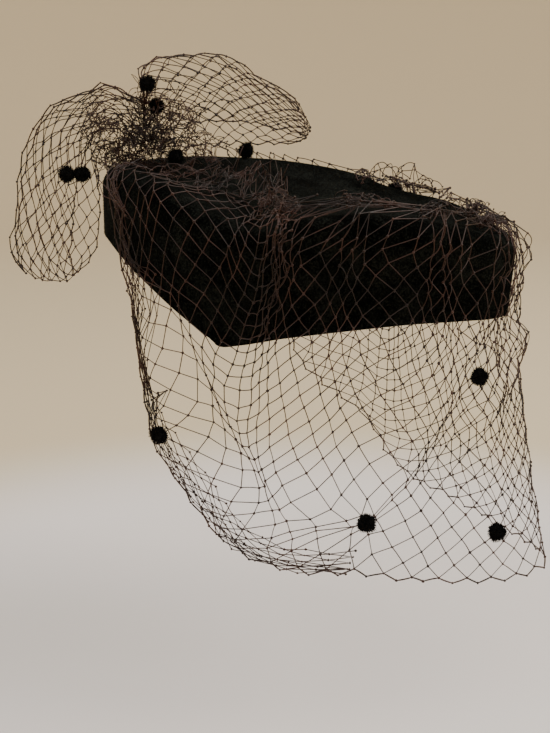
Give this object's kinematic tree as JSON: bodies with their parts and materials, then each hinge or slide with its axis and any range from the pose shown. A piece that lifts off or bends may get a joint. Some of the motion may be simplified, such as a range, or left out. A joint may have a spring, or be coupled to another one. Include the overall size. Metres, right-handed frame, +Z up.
{
  "type": "pillbox hat with birdcage veil",
  "caption": "Black velour felt pillbox hat with a blocked kite-shaped crown, a dark brown diamond-net face veil, a net bow at the back and fuzzy chenille dots.",
  "frame": {"origin": "seat of the head, in the hollow under the middle of the crown", "axes": "+Z up as the hat is worn, -Y out of the front of the hat, +X to the wearer's left"},
  "size_m": [0.22, 0.3278, 0.2871],
  "materials": {
    "felt": "velour wool felt, short soft nap",
    "net": "twisted rayon thread, knotted diamond mesh",
    "chenille": "fuzzy chenille"
  },
  "bodies": {
    "root": {"felt_body": "felt", "face_veil": "net", "net_bow": "net", "chenille_dot_01": "chenille", "chenille_dot_02": "chenille", "chenille_dot_03": "chenille", "chenille_dot_04": "chenille", "chenille_dot_05": "chenille", "chenille_dot_06": "chenille", "chenille_dot_07": "chenille", "chenille_dot_08": "chenille", "chenille_dot_09": "chenille", "chenille_dot_10": "chenille", "chenille_dot_11": "chenille"}
  },
  "joints": []
}
